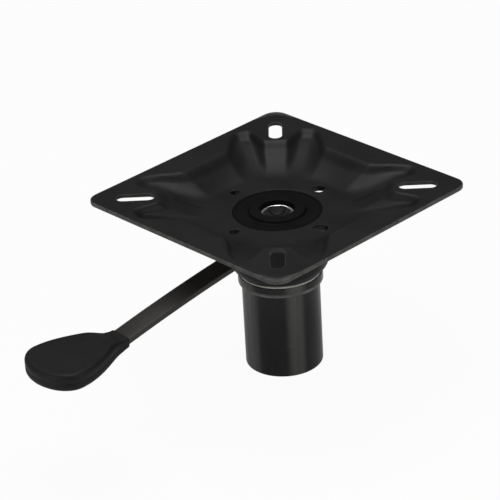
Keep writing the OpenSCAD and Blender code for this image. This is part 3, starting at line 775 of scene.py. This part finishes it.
class HubSizes(bpy.types.PropertyGroup):
    """Sizes of the housing, the hub, the spigot and the brake spring."""

    housing_radius: length("Housing radius", 0.0322, "Outer radius of the housing")
    housing_wall: length("Housing wall", 0.0025, "Thickness of the housing's sheet steel")
    housing_corner: length("Housing corner", 0.009, "Outer radius of the housing's lower corner")
    housing_hole: length("Housing hole", 0.0202, "Radius of the hole in the housing's floor")
    window_width: length("Window width", 0.018, "Width of the lever window")
    window_sill: length("Window sill", 0.077, "Height of the lever window's sill")
    window_corner: length("Window corner", 0.004, "Radius of the lever window's lower corners")
    cup_radius: length("Cup radius", 0.0109, "Outer radius of the bright cup washer")
    cup_wall: length("Cup wall", 0.001, "Thickness of the cup washer")
    cup_lip: length("Cup lip", 0.0015, "Width of the bevelled lip on the cup washer's rim")
    boss_radius: length("Boss radius", 0.0185, "Outer radius of the hub cover's boss")
    nut_across: length("Nut width", 0.016, "Width across the king nut's flats")
    bolt_radius: length("Bolt radius", 0.005, "Radius of the king bolt")
    thread_pitch: length("Thread pitch", 0.0015, "Pitch of the king bolt's thread")
    tube_wall: length("Tube wall", 0.003, "Thickness of the spigot tube's wall")
    journal_radius: length("Journal radius", 0.018, "Radius of the spindle where the carrier turns on it")
    collar_edge: length("Collar edge", 0.0008, "Rounding of the collar's lower edge, which the post rubs")
    spring_wire: length("Spring wire", 0.0005, "Radius of the brake spring's wire")
    brake_travel: length("Brake travel", 0.002, "Distance that the brake plunger lifts")


def window_tool(sizes, high):
    """The solid that cuts the lever's window, open at its top."""
    corner, half = sizes.window_corner, sizes.window_width / 2
    loop = [Vector((half, high)), Vector((-half, high))]
    loop += arc((-half + corner, sizes.window_sill + corner), corner, 180, 270, 6)
    loop += arc((half - corner, sizes.window_sill + corner), corner, 270, 360, 6)
    inner, outer = -0.012, -sizes.housing_radius - 0.01
    rings = [[LEVER_SIDE @ Vector((p.x, y, p.y)) for p in loop] for y in (inner, outer)]
    return lofted("window_tool", rings, FINISHES["housing_paint"])


class SWIVEL_OT_housing(bpy.types.Operator):
    """Makes the pressed housing with its window, with rounded edges"""

    bl_idname = "swivel_base.housing"
    bl_label = "Housing"

    def execute(self, context):
        sizes = context.scene.swivel_hub
        low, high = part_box("housing")
        outer, wall, corner = sizes.housing_radius, sizes.housing_wall, sizes.housing_corner
        cup = revolved("housing_cup", [
            (sizes.housing_hole, low.z, 0.0004), (outer, low.z, corner), (outer, high.z, 0.0005),
            (outer - wall, high.z, 0.0005), (outer - wall, low.z + wall, corner - wall),
            (sizes.housing_hole, low.z + wall, 0.0004),
        ], FINISHES["housing_paint"], fillet_steps=8)
        cut(cup, window_tool(sizes, high.z + 0.002))
        cup.data.set_sharp_from_angle(angle=math.radians(35))
        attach(cup, "carrier")
        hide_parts("housing")
        return {"FINISHED"}


class SWIVEL_OT_hub_cover(bpy.types.Operator):
    """Makes the moulded ring that covers the hub"""

    bl_idname = "swivel_base.hub_cover"
    bl_label = "Hub cover"

    def execute(self, context):
        sizes = context.scene.swivel_hub
        low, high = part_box("hub_cover")
        inside, boss, reach = sizes.cup_radius + 0.0004, sizes.boss_radius, high.x
        flange, lip, hollow = low.z + 0.002, low.z + 0.0027, low.z + 0.003
        cover = revolved("hub_cover_ring", [
            (inside, low.z, 0.0003), (inside, high.z, 0.0006), (boss, high.z, 0.0012),
            (boss, flange, 0.0012), (reach - 0.0016, flange, 0.0006), (reach - 0.0014, lip, 0.0003),
            (reach, lip, 0.0006), (reach, low.z, 0.0003), (boss - 0.002, low.z, 0.0003),
            (boss - 0.002, hollow, 0.0006), (inside + 0.002, hollow, 0.0006), (inside + 0.002, low.z, 0.0003),
        ], FINISHES["cover_plastic"])
        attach(cover, "carrier")
        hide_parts("hub_cover")
        return {"FINISHED"}


def hexagon_nut(name, across, low, high, bore, material):
    """A nut with chamfered corners."""
    chamfer, over = 0.0007, 0.002
    corner = across / 2 / math.cos(math.radians(30))
    widest, bevel = corner + 0.0001, chamfer * 0.6
    nut = revolved(name, [
        (bore, low, 0), (corner - chamfer, low, 0), (widest, low + bevel, 0),
        (widest, high - bevel, 0), (corner - chamfer, high, 0), (bore, high, 0),
    ], material, steps=96)
    reach = 4 * corner
    near, far = across / 2, across / 2 + reach
    square = ((near, -reach), (far, -reach), (far, reach), (near, reach))
    for k in range(6):
        outward = Vector((math.cos(math.radians(60 * k + 30)), math.sin(math.radians(60 * k + 30)), 0))
        sideways = Vector((-outward.y, outward.x, 0))
        block = [outward * d + sideways * w for d, w in square]
        rings = [[p + Vector((0, 0, z)) for p in block] for z in (low - over, high + over)]
        cut(nut, lofted("flat_tool", rings, material))
    nut.data.set_sharp_from_angle(angle=math.radians(20))
    return nut


def helix_nodes():
    """Geometry Nodes tree for a wire or a thread's ridge that winds up round a vertical axis."""
    made, tree, given, out = group("helix", "GeometryNodeTree", {
        "Radius": ("Float", 0.005), "Height": ("Float", 0.005), "Turns": ("Float", 3.0), "Steps": ("Int", 32),
        "Section radius": ("Float", 0.0005), "Section sides": ("Int", 12), "Smooth": ("Bool", True),
        "Foot": ("Vector", (0.0, 0.0, 0.0)), "Finish": ("Material", None)}, {"Helix": "Geometry"})
    helix = tree.node("GeometryNodeCurveSpiral", {
        "Resolution": given["Steps"], "Rotations": given["Turns"], "Start Radius": given["Radius"],
        "End Radius": given["Radius"], "Height": given["Height"]})
    section = tree.node("GeometryNodeCurvePrimitiveCircle", {
        "Resolution": given["Section sides"], "Radius": given["Section radius"]}, mode="RADIUS")
    swept = tree.node("GeometryNodeCurveToMesh", {
        "Curve": helix.outputs[0], "Profile Curve": section.outputs[0], "Fill Caps": True})
    smooth = tree.node("GeometryNodeSetShadeSmooth", {0: swept.outputs[0], "Selection": given["Smooth"]})
    moved = tree.node("GeometryNodeTransform", {"Geometry": smooth.outputs[0], "Translation": given["Foot"]})
    tree.end_geometry(moved.outputs[0], given, out)
    return made


def wound(name, values):
    """A piece that the helix tree makes with these values."""
    nodes = bpy.data.node_groups.get("helix") or helix_nodes()
    return run_nodes(linked(bpy.data.meshes.new(name), name), nodes, values)


class SWIVEL_OT_king_bolt(bpy.types.Operator):
    """Makes the cup washer, the king nut and the threaded king bolt"""

    bl_idname = "swivel_base.king_bolt"
    bl_label = "King bolt, nut and cup washer"

    def execute(self, context):
        sizes = context.scene.swivel_hub
        steel, bolt, across = FINISHES["dark_steel"], sizes.bolt_radius, sizes.nut_across
        low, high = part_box("cup_washer")
        outer, lip, floor = sizes.cup_radius, sizes.cup_radius - sizes.cup_lip, low.z + sizes.cup_wall
        cup = revolved("cup_washer_bright", [
            (bolt, low.z, 0), (outer, low.z, 0.0008), (outer, high.z, 0.0002), (outer - 0.0002, high.z, 0),
            (lip, high.z - 0.0008, 0.0002), (lip, floor, 0.0004), (bolt, floor, 0),
        ], FINISHES["zinc"])
        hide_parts("cup_washer")
        low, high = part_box("king_nut")
        nut = hexagon_nut("king_nut_chamfered", across, low.z, high.z, bolt, steel)
        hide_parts("king_nut")
        low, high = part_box("king_bolt")
        head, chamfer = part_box("spindle")[0].z, 0.0008
        shank = revolved("king_bolt_shank", [
            (0, head - 0.001, 0), (bolt, head - 0.001, 0), (bolt, high.z - chamfer, 0),
            (bolt - chamfer, high.z, 0), (0, high.z, 0),
        ], steel, steps=96)
        bolt_head = hexagon_nut("king_bolt_head", across, low.z, head, 0.0, steel)
        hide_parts("king_bolt")
        turns, pitch = 8.0, sizes.thread_pitch
        ridge = wound("king_bolt_thread", {
            "Radius": bolt - 0.0005, "Height": turns * pitch, "Turns": turns, "Steps": 40,
            "Section radius": 0.42 * pitch, "Section sides": 4, "Smooth": False,
            "Foot": (0.0, 0.0, high.z - 0.0006 - turns * pitch), "Finish": steel})
        for piece in (cup, nut, shank, bolt_head, ridge):
            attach(piece, "spigot")
        return {"FINISHED"}


# Spigot

class SWIVEL_OT_spigot(bpy.types.Operator):
    """Makes the spigot tube and the turned spindle with rounded edges"""

    bl_idname = "swivel_base.spigot"
    bl_label = "Spigot and spindle"

    def execute(self, context):
        sizes = context.scene.swivel_hub
        paint, edge, journal = FINISHES["tube_paint"], sizes.collar_edge, sizes.journal_radius
        low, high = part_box("spigot_tube")
        outer, inner = high.x, high.x - sizes.tube_wall
        tube = revolved("spigot_tube_painted", [
            (outer, low.z, 0.0005), (outer, high.z, 0), (inner, high.z, 0), (inner, low.z, 0.0004),
        ], paint, steps=192)
        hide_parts("spigot_tube")
        plug_low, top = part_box("spindle")
        collar, seat, bore = top.x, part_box("thrust_washer")[0].z, sizes.bolt_radius
        spindle = revolved("spindle_turned", [
            (bore, plug_low.z, 0), (inner, plug_low.z, 0.0005), (inner, high.z, 0), (collar, high.z, edge),
            (collar, seat, 0.0006), (journal, seat, 0.0004), (journal, top.z, 0.0003), (bore, top.z, 0),
        ], paint, steps=192, fillet_steps=6)
        # Painted highlight and wear: the collar's lower rounded edge is marked, so its paint is drawn lighter
        # as a thin bright line.
        mark_rim(spindle, lambda p: p.z < high.z + edge and math.hypot(p.x, p.y) > collar - edge)
        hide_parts("spindle")
        for piece in (tube, spindle):
            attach(piece, "spigot")
        return {"FINISHED"}


# Lever and grip

class LeverSizes(bpy.types.PropertyGroup):
    """Sizes of the lever and of its grip."""

    bar_width: length("Bar width", 0.015, "Width of the flat bar")
    bar_thickness: length("Bar thickness", 0.004, "Thickness of the flat bar")
    bar_edge: length("Bar edge", 0.0009, "Rounding of the flat bar's edges")
    eye_bore: length("Eye bore", 0.0021, "Radius of the hole for the pivot pin")
    eye_radius: length("Eye radius", 0.004, "Outer radius of the eye on the pivot pin")
    pivot_at: length("Pivot distance", 0.0115, "Distance of the pivot from the swivel axis")
    pivot_height: length("Pivot height", 0.0915, "Height of the pivot")
    slope_in: angle("Slope at the pivot", 4.0, "Downward slope of the bar at its pivot")
    slope_out: angle("Slope at the grip", 10.0, "Downward slope of the bar where it enters the grip")
    bar_reach: length("Bar reach", 0.145, "Distance from the swivel axis to where the bar levels out")
    tang: length("Tang", 0.034, "Length of the level tang inside the grip")
    grip_length: length("Grip length", 0.0601, "Length of the grip")
    grip_width: length("Grip width", 0.0482, "Widest width of the grip")
    grip_nose: length("Nose length", 0.0172, "Distance of the round end from the widest place")
    grip_turn: angle("Grip turn", 2.5, "Turn of the grip about its neck, seen from above")
    neck_width: length("Neck width", 0.0174, "Width of the grip's neck")
    sleeve_length: length("Sleeve length", 0.007, "Length of the grip's sleeve round the bar")
    sleeve_run: length("Sleeve run", 0.019, "Distance over which the sleeve grows into the grip")
    sleeve_height: length("Sleeve thickness", 0.0064, "Thickness of the sleeve at its open end")
    grip_edge: length("Grip edge", 0.003, "Rounding of the grip's edges")


def bar_line(sizes):
    """The bar's middle line from its pivot outwards, as (distance, height) points."""
    run = sizes.bar_reach - sizes.pivot_at
    steep, steeper = math.tan(sizes.slope_in), math.tan(sizes.slope_out)

    def on_curve(x):
        fall = x * (steep + (steeper - steep) * x / run / 2)
        return Vector((sizes.pivot_at + x, sizes.pivot_height - fall))

    bend, curve_steps, bend_steps = 0.004, 40, 6
    line = [on_curve((run - bend) * k / curve_steps) for k in range(curve_steps + 1)]
    start, corner = line[-1], on_curve(run)
    end = corner + Vector((bend, 0))
    for k in range(1, bend_steps):
        share = k / bend_steps
        line.append(start.lerp(corner, share).lerp(corner.lerp(end, share), share))
    return line + [end, corner + Vector((sizes.tang, 0))]


def flat_bar(sizes, material):
    """The lever's flat bar, swept along its middle line with rounded edges."""
    section = round_box(sizes.bar_width, sizes.bar_thickness, sizes.bar_edge, 4)
    line = spaced(bar_line(sizes), 0.004, closed=False)
    rings = []
    for i, spot in enumerate(line):
        ahead = line[min(i + 1, len(line) - 1)] - line[max(i - 1, 0)]
        up = Vector((-ahead.y, ahead.x)).normalized()
        ring = [(p.x, -(spot.x + up.x * p.y), spot.y + up.y * p.y) for p in section]
        rings.append([LEVER_SIDE @ Vector(p) for p in ring])
    return lofted("lever_bar", rings, material)


def grip_places(sizes):
    """Distances of the grip's neck and of its widest place from the swivel axis."""
    neck = sizes.bar_reach - 0.0005
    return neck, neck + sizes.grip_length - sizes.grip_nose


def grip_half_width(sizes, reach):
    """Half width of the grip at a distance from the swivel axis. Its sleeve runs smoothly into the bar."""
    neck, wide = grip_places(sizes)
    if reach > wide:
        return sizes.grip_width / 2 * math.sqrt(max(0.0, 1 - ((reach - wide) / sizes.grip_nose) ** 2))
    flare, steepness = neck + 0.0055, 0.47
    share = (max(reach, flare) - neck) / (wide - neck)
    swell = 0.85 * math.sin(math.pi / 2 * share) + 0.15 * eased(share)
    half = sizes.neck_width / 2 + (sizes.grip_width - sizes.neck_width) / 2 * swell
    if reach >= flare:
        return half
    sleeve, run = sizes.neck_width / 2 - 0.0004, 0.011
    k = max(0.0, 1 - (flare - reach) / run)
    return sleeve + (half - sleeve) * eased(k) + run * steepness * k * k * (k - 1)


def sleeve_share(sizes, reach):
    """How far the sleeve has grown into the grip: 0 at its open end, 1 at the grip's full thickness."""
    return eased((reach - sizes.bar_reach + sizes.sleeve_length) / sizes.sleeve_run)


def sleeve_level(sizes, reach, z, low, high):
    """Height of a point of the grip, which thins towards the open end of its sleeve round the bar."""
    grown = sleeve_share(sizes, reach)
    level = bar_line(sizes)[-1].y + math.tan(sizes.slope_out) * max(0.0, sizes.bar_reach - reach)
    middle = (low + high) / 2
    thin = sizes.sleeve_height / (high - low)
    return level * (1 - grown) + middle * grown + (z - middle) * (thin + (1 - thin) * grown)


def grip_outline(sizes, inset):
    """The grip's outline from above, drawn in by inset and turned about its neck."""
    neck, wide = grip_places(sizes)
    corner, side_steps, nose_steps, corner_steps = 0.002, 42, 28, 6
    first = neck - sizes.sleeve_length + corner
    stations = [first + (wide - first) * i / side_steps for i in range(side_steps)]
    stations += [wide + sizes.grip_nose * math.sin(math.pi / 2 * i / nose_steps) for i in range(nose_steps)]
    side = arc((grip_half_width(sizes, first) - corner, -first), corner, 90, 0, corner_steps)[:-1]
    side += [Vector((grip_half_width(sizes, s), -s)) for s in stations]
    loop = side + [Vector((0, -wide - sizes.grip_nose))] + [Vector((-p.x, p.y)) for p in reversed(side)]
    pivot, turn = Vector((0, -neck)), Matrix.Rotation(-sizes.grip_turn, 2)
    drawn = []
    for i, p in enumerate(loop):
        ahead = (loop[(i + 1) % len(loop)] - loop[i - 1]).normalized()
        depth = inset * (0.4 + 0.6 * sleeve_share(sizes, -p.y)) + 0.00007
        drawn.append(pivot + turn @ (p + Vector((ahead.y, -ahead.x)) * depth - pivot))
    return drawn


def grip_paddle(sizes, low, high, material):
    """The moulded grip, with rounded edges and a fine parting line round its middle."""
    edge = rounded_edge(sizes.grip_edge, 8)
    parting, middle = 0.0004, (low + high) / 2
    levels = [(inset, low + z) for inset, z in edge]
    levels += [(0.0, middle - parting), (parting / 2, middle), (0.0, middle + parting)]
    levels += [(inset, high - z) for inset, z in reversed(edge)]
    rings = []
    for inset, z in levels:
        outline = grip_outline(sizes, inset)
        rings.append([LEVER_SIDE @ Vector((*p, sleeve_level(sizes, -p.y, z, low, high))) for p in outline])
    return lofted("grip_moulded", rings, material)


class SWIVEL_OT_lever(bpy.types.Operator):
    """Makes the lever's bar with its eye, and the moulded grip on its end"""

    bl_idname = "swivel_base.lever"
    bl_label = "Lever and grip"

    def execute(self, context):
        sizes = context.scene.swivel_lever
        paint, half = FINISHES["lever_paint"], sizes.bar_width / 2
        bore, outer = sizes.eye_bore, sizes.eye_radius
        bar = flat_bar(sizes, paint)
        eye = revolved("lever_eye", [
            (bore, -half, 0), (outer, -half, 0.0005), (outer, half, 0.0005), (bore, half, 0),
        ], paint, steps=48)
        pivot = Matrix.Translation((0, -sizes.pivot_at, sizes.pivot_height))
        place(eye, LEVER_SIDE @ pivot @ Matrix.Rotation(math.radians(90), 4, "Y"))
        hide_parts("lever_arm")
        low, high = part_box("grip")
        grip = grip_paddle(sizes, low.z, high.z, FINISHES["grip_plastic"])
        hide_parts("grip")
        for piece in (bar, eye, grip):
            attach(piece, "lever")
        return {"FINISHED"}


# Brake

class SWIVEL_OT_spring(bpy.types.Operator):
    """Winds the brake spring round the plunger"""

    bl_idname = "swivel_base.spring"
    bl_label = "Brake spring"

    def execute(self, context):
        sizes = context.scene.swivel_hub
        low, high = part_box("brake_spring")
        middle, wire = (low + high) / 2, sizes.spring_wire
        spring = wound("brake_coil", {
            "Radius": (high.x - low.x) / 2 - wire, "Height": high.z - low.z - 2 * wire, "Turns": 3.0,
            "Steps": 32, "Section radius": wire, "Section sides": 12, "Smooth": True,
            "Foot": (middle.x, middle.y, low.z + wire), "Finish": FINISHES["bare_steel"]})
        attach(spring, "carrier")
        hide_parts("brake_spring")
        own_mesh(spring)
        return {"FINISHED"}


# Studio. Each lamp has its name, place, size and power in watts

WHITE = (1.0, 1.0, 1.0, 1.0)
LAMPS = (
    ("light_top", (-0.1, 0.1, 1.4), (1.0, 1.0), 10.5),
    ("light_left", (-1.05, -0.95, 0.5), (0.6, 0.6), 4.5),
    ("light_right", (1.05, -0.85, 0.6), (0.45, 0.8), 4.5),
)


class StageSettings(bpy.types.PropertyGroup):
    """Camera and lights."""

    azimuth: angle("Azimuth", 0.892, "Camera's turn round the object")
    elevation: angle("Elevation", 26.889, "Camera's angle above the plate")
    roll: angle("Roll", -2.92, "Camera's roll about its line of sight")
    distance: length("Distance", 1.6, "Distance of the camera from the plate's middle")
    focal_share: number("Focal length", 5.03564, "Focal length in picture widths")
    centre_x: number("Centre across", 0.55254, "Where the plate's middle shows, in picture widths")
    centre_y: number("Centre down", 0.38216, "Where the plate's middle shows, in picture heights")
    world_strength: number("World", 0.16, "Strength of the even light")


def camera_matrix(stage):
    """The camera's place and turn, from its angles and from where the plate's middle shows."""
    az, el = stage.azimuth, stage.elevation
    back = Vector((math.sin(az) * math.cos(el), -math.cos(az) * math.cos(el), math.sin(el)))
    right = Vector((math.cos(az), math.sin(az), 0))
    level = Matrix((right, -back.cross(right), -back))
    ray = Vector(((stage.centre_x - 0.5) / stage.focal_share, (stage.centre_y - 0.5) / stage.focal_share, 1))
    ray.normalize()
    aim = Vector((0, 0, 1)).rotation_difference(ray).to_matrix()
    turn = Matrix.Rotation(stage.roll, 3, ray) @ aim @ level
    columns = Matrix((turn[0], -turn[1], -turn[2])).transposed().to_4x4()
    return Matrix.Translation(back * stage.distance + Vector((0, 0, PLATE_TOP))) @ columns


def softbox(name, centre, size, power):
    """A rectangular soft light that points at the object's middle."""
    lamp = bpy.data.lights.new(name, "AREA")
    lamp.shape = "RECTANGLE"
    lamp.size, lamp.size_y = size
    lamp.energy = power
    look = (Vector((0.0, 0.0, 0.08)) - Vector(centre)).to_track_quat("-Z", "Y")
    linked(lamp, name).matrix_world = Matrix.Translation(centre) @ look.to_matrix().to_4x4()


def floor_material():
    """Pale studio floor: white to the camera and in reflections, with the object's soft shadow kept."""
    made = bpy.data.materials.new("studio_floor")
    tree = emptied(made)
    in_mirrors, white_part = 0.3, 0.95
    path = tree.node("ShaderNodeLightPath").outputs
    mirrored = tree.math("MAXIMUM", path["Is Glossy Ray"], path["Is Transmission Ray"])
    seen = tree.math("MAXIMUM", path["Is Camera Ray"], tree.times(mirrored, in_mirrors))
    share = tree.times(seen, white_part)
    lit = tree.node("ShaderNodeBsdfDiffuse", {"Color": (0.8, 0.8, 0.8, 1.0)})
    glow = tree.node("ShaderNodeEmission", {"Color": WHITE, "Strength": 1.0})
    mixed = tree.node("ShaderNodeMixShader", {0: share, 1: lit.outputs[0], 2: glow.outputs[0]})
    tree.node("ShaderNodeOutputMaterial", {"Surface": mixed.outputs[0]})
    return made


def studio_world(strength):
    """Even grey light all round, and white where the camera sees past the floor."""
    world = bpy.data.worlds.new("studio")
    tree = emptied(world)
    path = tree.node("ShaderNodeLightPath").outputs
    seen = tree.math("MAXIMUM", path["Is Camera Ray"], path["Is Transmission Ray"])
    even, white = (tree.node("ShaderNodeBackground", {"Color": WHITE, "Strength": level}).outputs[0]
                   for level in (strength, 1.0))
    mixed = tree.node("ShaderNodeMixShader", {0: seen, 1: even, 2: white})
    tree.node("ShaderNodeOutputWorld", {"Surface": mixed.outputs[0]})
    bpy.context.scene.world = world


class SWIVEL_OT_stage(bpy.types.Operator):
    """Sets up the floor, the soft lights and the camera"""

    bl_idname = "swivel_base.stage"
    bl_label = "Studio"

    def execute(self, context):
        stage = context.scene.swivel_stage
        camera = bpy.data.cameras.new("studio_camera")
        camera.sensor_width = 36.0
        camera.lens = stage.focal_share * camera.sensor_width
        camera.clip_end = 50.0
        holder = linked(camera, "studio_camera")
        holder.matrix_world = camera_matrix(stage)
        context.scene.camera = holder
        reach = 6.0
        corners = [(-reach, -reach, 0), (reach, -reach, 0), (reach, reach, 0), (-reach, reach, 0)]
        floor = mesh_object("studio_floor", corners, [(0, 1, 2, 3)], floor_material())
        studio_world(stage.world_strength)
        for lamp in LAMPS:
            softbox(*lamp)
        context.scene.view_settings.view_transform = "Standard"
        return {"FINISHED"}


class SWIVEL_PT_panel(bpy.types.Panel):
    """Lists the steps that make the swivel seat base"""

    bl_idname = "SWIVEL_PT_panel"
    bl_label = "Swivel seat base"
    bl_space_type = "VIEW_3D"
    bl_region_type = "UI"
    bl_category = "Seat base"

    def draw(self, context):
        for step in STEPS:
            self.layout.operator(step.bl_idname)
        for name, made in SETTINGS.items():
            box = self.layout.box()
            for value in made.__annotations__:
                box.prop(getattr(context.scene, name), value)


SETTINGS = {
    "swivel_plate": PlateSizes,
    "swivel_hub": HubSizes,
    "swivel_lever": LeverSizes,
    "swivel_colours": Colours,
    "swivel_stage": StageSettings,
}
STEPS = (
    SWIVEL_OT_stage, SWIVEL_OT_finishes, SWIVEL_OT_seat_plate, SWIVEL_OT_housing, SWIVEL_OT_hub_cover,
    SWIVEL_OT_king_bolt, SWIVEL_OT_spigot, SWIVEL_OT_lever, SWIVEL_OT_spring,
)
CLASSES = (*SETTINGS.values(), *STEPS, SWIVEL_PT_panel)


def register():
    """Registers every class and hangs the settings on the scene."""
    for made in CLASSES:
        bpy.utils.register_class(made)
    for name, made in SETTINGS.items():
        setattr(bpy.types.Scene, name, bpy.props.PointerProperty(type=made))


def unregister():
    """Takes the settings and every class away again."""
    for name in SETTINGS:
        delattr(bpy.types.Scene, name)
    for made in reversed(CLASSES):
        bpy.utils.unregister_class(made)


def main():
    """Makes everything in order."""
    register()
    for step in STEPS:
        family, name = step.bl_idname.split(".")
        getattr(getattr(bpy.ops, family), name)()


if __name__ == "__main__":
    main()
